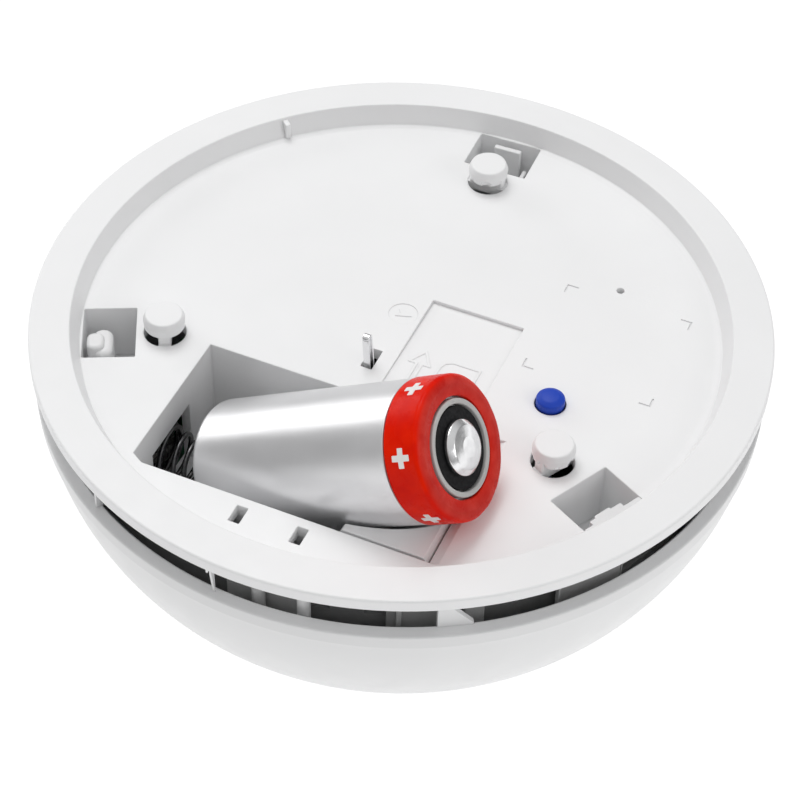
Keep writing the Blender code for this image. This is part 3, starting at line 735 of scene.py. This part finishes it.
def cover_cutters():
    cutters = []
    for radius, angle in STATIONS:
        cutters.append(hole(disc(*polar(radius, angle), POST_HOLE), FLOOR_UNDER - 1, soft=0.18))
        cutters.append(hole(pocket(angle), POCKET_LOW, soft=0.15))
    cutters += [
        hole(disc(*LINK_XY, LINK_HOLE), 34.0, soft=0.08),
        hole(rectangle(*LEAF_HOLE), 34.0, soft=0.08),
        hole(disc(*RESET_HOLE_XY, 0.5, 24), 34.0, soft=0.12),
        stack(disc(*LINK_XY, 2.9), [(0.0, 28.5), (0.0, 36.3)]),
        stack(disc(*DIAL_XY, 1.85), hole_levels(FLOOR - 0.1, FLOOR, 0.07)),
        stack(
            rectangle((-22.5, -28.5), (-19.5, -18.9), 0.3),
            [(0.0, 23.0), (0.0, 32.6)],
        ),
        stack(
            rectangle((18.5, -27.3), (21.5, -20.5), 0.3),
            [(0.0, 22.8), (0.0, 33.0)],
        ),
    ]
    for x, y in SLOT_CENTRES:
        cutters.append(hole(rectangle((x - 0.7, y - 1.25), (x + 0.7, y + 1.25)), 34.0, soft=0.12))
    return cutters + corner_marks()


def post_form(radius, angle, notched):
    """Mushroom cap on a short stem, over a web that crosses the post's hole."""
    outline = profile((0, 38.4), (2.5, 38.45, 0.12), (2.62, 39.6, 0.3), (2.3, 40.42, 0.28), (0, 40.47))
    cap = solid("post", spun(outline, 72))
    bites = [
        stack(disc(*polar(2.9, spin), reach, 24), [(0.0, 37.0), (0.0, 38.9), (-0.35, 39.25)])
        for spin, reach in zip(range(15, 375, 45), (0.8, 0.5) * 4)
    ]
    if notched:
        combine(cap, bites, "DIFFERENCE")
    web = slab(rectangle((-0.78, -3.3), (0.78, 3.3), 0.15), FLOOR_UNDER + 0.3, FLOOR - 0.15)
    stem = slab(rectangle((-0.76, -2.3), (0.76, 2.3), 0.3), FLOOR_UNDER + 0.6, 39.3)
    combine(cap, [web, stem], "UNION")
    return moved(form_of(cap), *polar(radius, angle), turn=angle)


def panel_marks():
    """Raised arrow and cell outline that show how the cell goes in."""
    arrow = [
        (3.95, -9.6),
        (4.95, -9.6),
        (4.95, -4.9),
        (6.1, -4.9),
        (4.4, -2.1),
        (2.8, -4.9),
        (3.95, -4.9),
    ]
    cell = [(6.8, -10.2), (11.95, -10.2), (11.95, -2.7), (8.2, -2.7), (7.2, -3.2), (6.8, -4.3)]
    pointer = [(-1.75, 1.55), (0.5, 2.3), (-1.75, 3.05), (-1.2, 2.3)]
    return [
        raised_line(arrow),
        raised_line(cell),
        stack(shape(pointer, 0.06), boss_levels(FLOOR - 0.4, FLOOR + 0.02, 0.08)),
    ]


def side_ribs():
    """Small ribs on the rim: one inside the recess, two that run down its outer side."""
    return [
        slab(rectangle((39.6, -0.35), (41.4, 0.35), 0.1, 136.5), FLOOR - 0.5, TOP - 0.35),
        slab(rectangle((45.0, -0.12), (46.0, 0.12), 0.05, 265.3), RIM_UNDER - 0.4, TOP - 0.3, 0.05),
        slab(rectangle((45.0, -0.25), (45.8, 0.25), 0.08, 240.6), RIM_UNDER - 0.3, TOP - 0.3, 0.08),
    ]


def bay_lip():
    """Sloped lip over the compartment's positive end."""
    ledge = shape([(17.95, 35.2), (19.6, 35.2), (19.6, 37.0), (19.1, 37.28), (17.95, 36.6)], 0.05)
    ends = (BAY_Y[0] - 0.4, BAY_Y[1] + 0.4)
    points, faces = stack(ledge, [(0.0, ends[0]), (0.0, ends[1])])
    return [(x, z, y) for x, y, z in points], faces


def make_back_cover(surfaces):
    cover = solid("cover_back", cover_plate(), surfaces["white"])
    box = stack(bay_outline(BOX_WALL), [(0.0, BAY_BOTTOM - BOX_WALL), (0.0, FLOOR - 0.6)])
    box = clipped(box, clear_of_dome(BOX_INSET))
    wells = [box, stack(disc(*LINK_XY, 4.0), [(0.0, 29.5), (0.0, FLOOR - 0.5)])]
    for _, angle in STATIONS:
        low = (POCKET_R[0] - POCKET_WALL, -POCKET_HALF - POCKET_WALL)
        high = (POCKET_R[1] + POCKET_WALL, POCKET_HALF + POCKET_WALL)
        around = rectangle(low, high, 0.6, angle)
        wells.append(stack(around, [(0.0, POCKET_LOW - 0.01), (0.0, FLOOR - 0.5)]))
    combine(cover, wells + side_ribs(), "UNION")

    bay = stack(bay_outline(0.0), hole_levels(BAY_BOTTOM, FLOOR, 0.14))
    bay = clipped(bay, clear_of_dome(BOX_INSET + BOX_WALL))
    panel = stack(
        rectangle((PANEL_X[0], PANEL_Y[0]), (PANEL_X[1], PANEL_Y[1]), 0.15),
        [(0.0, panel_floor()), (0.0, FLOOR - 0.06), (0.06, FLOOR), (0.06, FLOOR + 2)],
    )
    combine(cover, [bay, panel] + cover_cutters(), "DIFFERENCE")
    posts = [post_form(radius, angle, i != 1) for i, (radius, angle) in enumerate(STATIONS)]
    combine(cover, posts + panel_marks() + [bay_lip()], "UNION")
    return settle(cover, "housing", "white", "back_cover")


# --- Front cover ----------------------------------------------------------------------------


def front_shell():
    """Dome with a straight band at the lip, a flat ring and the button's well."""
    outer = dome_line(0.0, BAND_LOW - 0.1, 28)
    band = profile(
        (43.9, LIP - 0.3, 0.12),
        (44.2, LIP, 0.15),
        (45.75, LIP, 0.25),
        (45.66, BAND_LOW, 0.06),
    )
    well = profile(
        (WELL_RADIUS, 0.0, 0.25),
        (WELL_RADIUS, 6.5, 0.1),
        (WELL_RADIUS + 1.3, 6.5, 0.1),
        (WELL_RADIUS + 1.3, DOME_WALL),
    )
    inner = dome_line(DOME_WALL, LIP - 2.0, 12)
    return spun(band + outer[:-1] + well[:-1] + inner[::-1])


def hook_rounded(angle):
    """Thumb-shaped snap tab."""
    tab = rectangle((35.9, -1.7), (38.4, 2.9), 1.2, angle)
    lump = rectangle((36.9, -0.4), (39.1, 2.4), 0.9, angle)
    base = rectangle((36.1, -2.0), (39.0, 3.9), 0.5, angle)
    return [
        stack(tab, boss_levels(24.0, 36.5, 0.7)),
        stack(lump, boss_levels(24.0, 37.1, 0.5)),
        stack(base, boss_levels(24.0, 34.4, 0.3)),
    ]


def hook_square(angle):
    """Flat snap tab with a guide rib on each side."""
    return [
        stack(rectangle((38.0, -1.9), (38.8, 1.9), 0.2, angle), boss_levels(24.0, 36.9, 0.2)),
        stack(rectangle((37.3, -2.1), (38.4, 2.1), 0.2, angle), boss_levels(24.0, 31.6, 0.2)),
        slab(rectangle((36.6, 2.5), (38.2, 2.95), 0.15, angle), 26.0, 34.9, 0.15),
        slab(rectangle((36.2, -3.1), (37.9, -2.5), 0.2, angle), 26.0, 34.4, 0.2),
    ]


def hook_stepped(angle):
    """Wide snap tab whose top edge steps down on both sides."""
    return [
        stack(rectangle((38.2, -2.9), (39.56, 1.9), 0.1, angle), boss_levels(24.0, FLOOR, 0.06)),
        stack(rectangle((37.9, -2.0), (39.56, 0.4), 0.25, angle), boss_levels(24.0, FLOOR, 0.06)),
        stack(rectangle((38.8, -4.22), (39.56, 4.22), 0.15, angle), boss_levels(24.0, FLOOR, 0.06)),
    ]


def inlet_stands():
    """Spacer ribs inside the lip, which hold the rim off the dome."""
    stands = [
        slab(rectangle((42.8, -0.6), (44.9, 0.6), 0.2, angle), 28.0, 38.1) for angle in STAND_ANGLES
    ]
    wedge = shape([(-1.6, 29.0), (2.9, 29.0), (2.6, 33.4), (-1.2, 37.9), (-1.6, 37.9)], 0.1)
    points, faces = stack(wedge, slab_levels(43.5, 44.3, 0.08))
    spin = Matrix.Rotation(math.radians(301.0), 3, "Z")
    gusset = [tuple(spin @ Vector((z, x, y))) for x, y, z in points], faces
    return stands + [
        slab(rectangle((44.6, -0.13), (45.3, 0.13), 0.05, 265.3), 29.0, 38.1, 0.05),
        slab(rectangle((43.9, -0.2), (44.8, 0.2), 0.08, 240.6), 29.0, 38.1, 0.05),
        slab(disc(*polar(42.4, 278.6), 0.8, 40), 28.0, 38.1, 0.15),
        gusset,
    ]


def make_front_cover(surfaces):
    cover = solid("cover_front", front_shell(), surfaces["dome_white"])
    stands = (
        hook_square(STATIONS[0][1])
        + hook_rounded(STATIONS[1][1])
        + hook_stepped(STATIONS[2][1])
        + inlet_stands()
        + [
            slab(disc(*polar(radius, angle), 2.7, 40), 5.0, BOARD_UNDER - 0.3)
            for radius, angle in SCREW_PLACES
        ]
    )
    combine(cover, [clipped(together(stands), clear_of_dome(DOME_WALL / 2))], "UNION")

    slots = []
    for i in range(5):
        offset = (i - 2) * 2.6
        length = 5.2 - abs(i - 2) * 0.9
        bar = rectangle((offset - 0.6, -length), (offset + 0.6, length), 0.58)
        slots.append(moved(stack(bar, [(0.0, -1.0), (0.0, 9.0)]), -18.8, -15.6, turn=45.0))
    combine(cover, slots, "DIFFERENCE")
    return settle(cover, "housing", "white", "front_cover")


def make_inlet_parts(surfaces):
    """Slotted baffle ring inside the gap, and the fins that stand against it."""
    ring = solid(
        "inlet_baffle",
        spun(profile((40.1, 27.0, 0.1), (41.1, 27.0, 0.1), (41.1, 35.2, 0.3), (40.1, 35.2, 0.3))),
        surfaces["dark"],
    )
    gaps = [
        stack(rectangle((38.0, -6.3), (43.0, 6.3), 0.3, angle), [(0.0, 28.6), (0.0, 40.0)])
        for _, angle in STATIONS
    ]
    slots = []
    for i in range(24):
        angle = 15.0 * i + 7.5
        if all(abs((angle - s + 180) % 360 - 180) > 14 for _, s in STATIONS):
            slots.append(stack(rectangle((39.0, -3.4), (42.5, 3.4), 0.3, angle), [(0, 31.6), (0, 32.6)]))
    combine(ring, gaps + slots, "DIFFERENCE")
    settle(ring, "housing", "dark", "smoke_baffle")

    fins = [
        slab(rectangle((41.3, -4.6), (41.8, 4.9), 0.2, 271.5), 28.5, 37.0),
        slab(disc(*polar(42.6, 271.3), 0.8, 32), 28.5, 34.6, 0.6),
        slab(rectangle((41.3, -3.4), (41.7, 3.4), 0.1, 296.0), 28.5, 37.5),
        slab(rectangle((41.6, -0.3), (42.6, 0.3), 0.1, 293.3), 28.5, 36.8),
        slab(rectangle((41.3, -1.4), (42.0, 1.0), 0.2, 305.4), 28.5, 37.5),
        slab(rectangle((42.2, -0.12), (42.9, 0.12), 0.05, 318.6), 28.5, 37.8, 0.05),
        slab(rectangle((41.5, 0.1), (42.1, 8.2), 0.1, 318.9), 28.5, 37.6),
        slab(rectangle((42.2, -0.12), (42.9, 0.12), 0.05, 330.2), 28.5, 37.8, 0.05),
    ]
    posts = solid("inlet_fins", together(fins), surfaces["smoky"])
    settle(posts, "housing", "dark", "smoke_baffle")


# --- Cell -----------------------------------------------------------------------------------


def cell_seat():
    """Matrix that lays a form along Z onto the tilted cell's axis."""
    return Matrix.Translation(Vector(CELL_SEAT) * MM) @ Matrix.Rotation(
        math.radians(90.0 - CELL_TILT), 4, "Y"
    )


def plus_marks(angles):
    """Thin printed plus signs that follow the collar's curve."""
    half, arm, low, top = 1.15, 0.36, COLLAR_RADIUS - 0.03, COLLAR_RADIUS + 0.045
    corners = [
        (-half, -arm),
        (-arm, -arm),
        (-arm, -half),
        (arm, -half),
        (arm, -arm),
        (half, -arm),
        (half, arm),
        (arm, arm),
        (arm, half),
        (-arm, half),
        (-arm, arm),
        (-half, arm),
    ]
    outline = rounded(corners, [0.08] * len(corners), 3)
    forms = []
    for angle in angles:
        loops = []
        for radius in (low, top):
            loop = []
            for p in outline:
                turn = math.radians(angle) + p.x / COLLAR_RADIUS
                loop.append((radius * math.cos(turn), radius * math.sin(turn), 30.95 + p.y))
            loops.append(loop)
        forms.append(loft(loops))
    return together(forms)


def wrinkled(form, low, high, depth, size):
    """The form with a slow ripple on its points between two heights."""
    points = []
    for x, y, z in form[0]:
        share = 0.0 if z < low else min((z - low) / (high - low), 1.0)
        swell = 1 + share * depth * noise.noise(Vector((x, y, z)) / size) / COLLAR_RADIUS
        points.append((x * swell, y * swell, z))
    return points, form[1]


def make_cell(surfaces):
    can = spun(
        profile(
            (0, 0.12),
            (4.9, 0.12),
            (5.1, 0.0, 0.1),
            (CELL_RADIUS, 0.0, 0.75),
            (CELL_RADIUS, 28.55, 0.12),
            (7.95, 28.55),
            (7.95, 32.2),
            (0, 32.2),
        ),
        180,
    )
    collar = spun(
        profile(
            (COLLAR_RADIUS, 28.75, 0.08),
            (COLLAR_RADIUS, 33.3, 0.75),
            (7.3, 33.42, 0.2),
            (5.95, 33.3, 0.12),
            (5.9, 32.7, 0.1),
            (8.15, 32.5, 0.05),
            (8.15, 28.75, 0.08),
        ),
        180,
    )
    rim = spun(profile((5.65, 32.5), (5.65, 33.45, 0.15), (5.0, 33.4, 0.15), (5.0, 32.5)), 120)
    washer = spun(profile((4.8, 32.5), (4.8, 33.15, 0.1), (2.4, 33.15, 0.1), (2.4, 32.5)), 120)
    cap = spun(
        profile(
            (0, 32.5),
            (2.3, 32.5),
            (2.3, 33.3),
            (3.3, 33.3, 0.1),
            (3.25, 33.75, 0.25),
            (2.6, 34.3, 0.5),
            (1.2, 34.48, 0.5),
            (0, 34.5),
        ),
        120,
    )
    pieces = (
        ("sleeve_can", can, "silver", "silver", "cell_can"),
        ("sleeve_collar", wrinkled(collar, 31.5, 33.3, 0.1, 2.2), "red", "red", "cell_collar"),
        ("polarity_marks", plus_marks(range(-65, 295, 60)), "print", "red", "cell_collar"),
        ("end_ring", rim, "grey", "grey", "cell_rim_ring"),
        ("end_washer", washer, "paper", "black", "cell_insulator"),
        ("end_cap", cap, "chrome", "chrome", "cell_positive_cap"),
    )
    for name, form, surface, slot, node in pieces:
        piece = solid(name, form, surfaces[surface])
        piece.matrix_world = cell_seat()
        settle(piece, "cell", slot, node)


# --- Flap, springs and contacts -------------------------------------------------------------


def make_flap(surfaces):
    """Tray with a cradle that lifts the cell, two arms and its pivot stubs."""
    tray = shape([(4.9, -9.65), (30.9, -9.65), (31.35, -9.0), (31.35, -8.66), (4.9, -8.66)], 0.15)
    arm = shape(
        [(-1.9, 1.2), (-1.9, -1.3), (4.6, -9.6), (6.2, -9.6), (6.2, -8.0), (2.1, 0.6), (0.9, 1.9)],
        0.4,
    )
    rib = shape([(8.0, -8.75), (30.0, -8.75), (29.6, -8.5), (8.4, -8.5)], 0.04)

    def across(outline, low, high, soft):
        points, faces = stack(outline, slab_levels(low, high, soft))
        return [(x, z, y) for x, y, z in points], faces

    flap = solid("flap_tray", across(tray, -33.1, -13.3, 0.25), surfaces["white"])
    parts = [across(arm, -33.3, -32.55, 0.15), across(arm, -14.1, -13.15, 0.15)]
    parts += [across(rib, y - 0.25, y + 0.25, 0.06) for y in (-30.4, -17.4)]
    stubs = ((-34.5, -32.7), (-13.7, -9.2))
    parts += [across(disc(0.0, 0.0, 0.9, 32), low, high, 0.15) for low, high in stubs]
    cradle = shape([(20.8, -9.0), (31.3, -9.0), (31.35, -7.95), (22.65, -2.75), (21.9, -3.2)], 0.12)
    parts.append(across(cradle, -33.1, -13.3, 0.12))
    combine(flap, parts, "UNION")
    groove = stack(disc(0.0, 0.0, COLLAR_RADIUS + 0.25, 120), [(0.0, 10.0), (0.0, 40.0)])
    along_cell = Matrix.Translation((3.28, -23.9, 0.6)) @ Matrix.Rotation(math.radians(91.0), 4, "Y")
    combine(flap, [([along_cell @ Vector(p) for p in groove[0]], groove[1])], "DIFFERENCE")
    flap.matrix_world = Matrix.Translation(Vector(FLAP_SEAT) * MM) @ Matrix.Rotation(
        -math.radians(FLAP_TILT), 4, "Y"
    )
    settle(flap, "flap", "white", "lift_flap")


def helix(turns, start, end, length, per_turn=36):
    """Points of a coil round the Z axis; its end turns close up flat."""
    count = round(turns * per_turn)
    points = []
    for i in range(count + 1):
        share = i / count
        rise = share - math.sin(math.tau * share) / math.tau * 0.6
        points.append((*polar(start + (end - start) * share, 360.0 * turns * share), length * rise))
    return points


def make_springs(surfaces):
    """Contact spring, the test button's spring and the flap's."""
    wire = disc(0.0, 0.0, 0.32, 14)()
    # The wire's dark base colour is painted shade for the shaded window the spring sits in.
    spring = solid("contact_spring", sweep(helix(4.5, 4.2, 2.3, 5.0), wire, (0, 0, 1)), surfaces["shade_darkened_wire"])
    spring.matrix_world = Matrix.Translation(Vector((-21.9, -23.7, 27.8)) * MM) @ Matrix.Rotation(
        math.pi / 2, 4, "Y"
    )
    settle(spring, "housing", "nickel", "negative_spring")

    wire = disc(0.0, 0.0, 0.35, 14)()
    coil = solid("key_spring", sweep(helix(4.0, 5.0, 5.0, 10.9), wire, (0, 0, 1)), surfaces["steel"])
    coil.location.z = 2.9 * MM
    settle(coil, "housing", "steel", "test_button_spring")
    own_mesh(coil)

    x, z = FLAP_SEAT[0], FLAP_SEAT[2]
    path = [(x - 6.0, -11.0, z + 1.7), (x - 2.0, -11.0, z + 1.7)]
    for i in range(109):
        turn = math.tau * i / 36 + math.pi / 2
        path.append((x + 1.7 * math.cos(turn), -10.95 + 1.9 * i / 108, z + 1.7 * math.sin(turn)))
    path += [(x + 2.0, -9.05, z + 1.7), (x + 6.0, -9.05, z + 1.7)]
    torsion = solid("torsion_spring", sweep(path, disc(0.0, 0.0, 0.25, 12)(), (0, 1, 0)), surfaces["steel"])
    settle(torsion, "housing", "steel", "lift_spring")


def make_leaf(surfaces):
    """Polished strip bent up, over and down again, leaning slightly to one side."""
    near, far = LEAF_Y
    radius = (far - near) / 2 - 0.13
    bend = (near + far) / 2, FLOOR + 4.6 - radius - 0.13
    over = [(p.x, p.y) for p in arc(bend, radius, 180.0, 0.0, 24)]
    line = [(near + 0.13, 20.5), (near + 0.13, 30.0), (near + 0.13, 36.0)] + over
    line += [(far - 0.13, 40.0), (far - 0.13, 38.0), (far - 0.13, FLOOR - 1.2)]
    middle = (LEAF_X[0] + LEAF_X[1]) / 2
    path = [(middle - 0.08 * max(z - FLOOR, 0.0), y, z) for y, z in line]
    section = profile(
        (-0.44, -0.13, 0.1),
        (0.44, -0.13, 0.1),
        (0.44, 0.13, 0.1),
        (0.16, 0.13, 0.05),
        (0.0, 0.02, 0.05),
        (-0.16, 0.13, 0.05),
        (-0.44, 0.13, 0.1),
    )
    leaf = solid("bent_leaf", sweep(path, section, (1, 0, 0)), surfaces["chrome"])
    settle(leaf, "tamper", "chrome", "tamper_leaf")


# --- Buttons --------------------------------------------------------------------------------


def make_buttons(surfaces):
    face = spun(
        profile(
            (0, 0.62),
            (6.5, 0.5, 2.0),
            (9.75, 0.3, 0.3),
            (10.25, 0.85, 0.4),
            (10.25, 6.1, 0.1),
            (11.5, 6.1, 0.15),
            (11.5, 7.1, 0.15),
            (9.2, 7.1, 0.15),
            (9.2, 2.2, 0.4),
            (1.6, 2.2, 0.3),
            (1.6, 11.4, 0.2),
            (0, 11.4),
        ),
        160,
    )
    button = solid("button_face", face, surfaces["white"])
    dots = [stack(disc(*polar(6.6, 60.0 * i), 0.45, 24), [(0, 0.0), (0, 0.75)]) for i in range(6)]
    combine(button, dots, "DIFFERENCE")
    settle(button, "test_key", "white", "test_button")

    ring = solid(
        "status_ring",
        spun(profile((11.7, 0.3, 0.2), (11.7, 5.8, 0.1), (10.6, 5.8, 0.1), (10.6, 0.3, 0.2)), 160),
        surfaces["lens"],
    )
    settle(ring, "housing", "lens", "light_ring")

    key = spun(
        profile(
            (0, 18.6),
            (1.0, 18.6, 0.1),
            (1.0, 34.3),
            (2.6, 34.3, 0.1),
            (2.6, 35.6, 0.1),
            (1.79, 35.6),
            (1.77, 38.3, 0.35),
            (1.1, 38.72, 0.8),
            (0.3, 38.8, 0.2),
            (0, 38.8),
        ),
        96,
    )
    blue = solid("blue_key", moved(key, *LINK_XY), surfaces["blue"])
    settle(blue, "link_key", "blue", "link_button")


# --- Stage ----------------------------------------------------------------------------------


def repaint_frame(surfaces):
    """Gives every node that still shows its procedural finish."""
    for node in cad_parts.values():
        for place in node.material_slots:
            name = place.material.name.split(".")[0]
            place.material = surfaces[name]


def make_camera():
    """Looks down on the mounting side from behind the cell, turned a little about its axis."""
    forward = Vector((-0.2658, 0.6418, -0.7193)).normalized()
    right = forward.cross(Vector((0, 0, 1))).normalized()
    up = right.cross(forward)
    roll = 0.0287
    side = right * math.cos(roll) + up * math.sin(roll)
    top = up * math.cos(roll) - right * math.sin(roll)
    data = bpy.data.cameras.new("camera")
    data.lens = 99.7
    data.sensor_width = 36.0
    data.clip_start = 0.005
    camera = bpy.data.objects.new("camera", data)
    axes = Matrix((side, top, -forward)).transposed().to_4x4()
    camera.matrix_world = Matrix.Translation((0.0760, -0.1834, 0.2298)) @ axes
    bpy.context.scene.collection.objects.link(camera)
    bpy.context.scene.camera = camera


def make_floor():
    """Pale light table: mostly its own even glow, so that shadows stay faint."""
    table = bpy.data.meshes.new("light_table")
    half = 3.0
    corners = [(-half, -half, 0), (half, -half, 0), (half, half, 0), (-half, half, 0)]
    table.from_pydata(corners, [], [(0, 1, 2, 3)])
    floor = bpy.data.objects.new("light_table", table)
    bpy.context.scene.collection.objects.link(floor)
    glow = Surface("table", (0.15, 0.15, 0.15), 0.9, Emission_Strength=0.95, Specular_IOR_Level=0.0)
    glow.shader.inputs["Emission Color"].default_value = (1, 1, 1, 1)
    table.materials.append(glow.material)


def add_softbox(name, place, size, power):
    """Square area light aimed at the detector."""
    data = bpy.data.lights.new(name, "AREA")
    data.shape = "RECTANGLE"
    data.size, data.size_y = size
    data.energy = power
    light = bpy.data.objects.new(name, data)
    light.location = place
    aim = Vector((0.0, 0.0, 0.03)) - Vector(place)
    light.rotation_euler = aim.to_track_quat("-Z", "Y").to_euler()
    bpy.context.scene.collection.objects.link(light)


def make_sky():
    """Studio dome, dim at the horizon and bright overhead."""
    world = bpy.data.worlds.new("studio")
    bpy.context.scene.world = world
    world.use_nodes = True
    nodes, links = world.node_tree.nodes, world.node_tree.links
    back = nodes["Background"]
    direction = nodes.new("ShaderNodeTexCoord")
    split = nodes.new("ShaderNodeSeparateXYZ")
    ramp = nodes.new("ShaderNodeValToRGB")
    links.new(direction.outputs["Generated"], split.inputs[0])
    links.new(split.outputs["Z"], ramp.inputs[0])
    links.new(ramp.outputs[0], back.inputs[0])
    stops = ((0.0, 0.37), (0.25, 0.39), (0.6, 0.69), (1.0, 1.0))
    elements = ramp.color_ramp.elements
    while len(elements) < len(stops):
        elements.new(0.5)
    for element, (height, level) in zip(elements, stops):
        element.position = height
        element.color = (level, level, level, 1.0)
    back.inputs[1].default_value = 0.74


def make_studio():
    make_camera()
    make_floor()
    make_sky()
    add_softbox("overhead", (-0.3, 0.3, 0.9), (0.5, 0.5), 3.5)
    add_softbox("left_strip", (-0.84, 0.3, 0.34), (0.5, 0.22), 1.3)
    add_softbox("right_fill", (0.9, -0.15, 0.5), (0.6, 0.4), 1.5)
    bpy.context.scene.view_settings.view_transform = "Standard"


def main():
    surfaces = make_surfaces()
    make_back_cover(surfaces)
    make_front_cover(surfaces)
    make_inlet_parts(surfaces)
    make_cell(surfaces)
    make_flap(surfaces)
    make_springs(surfaces)
    make_leaf(surfaces)
    make_buttons(surfaces)
    repaint_frame(surfaces)
    make_studio()


main()
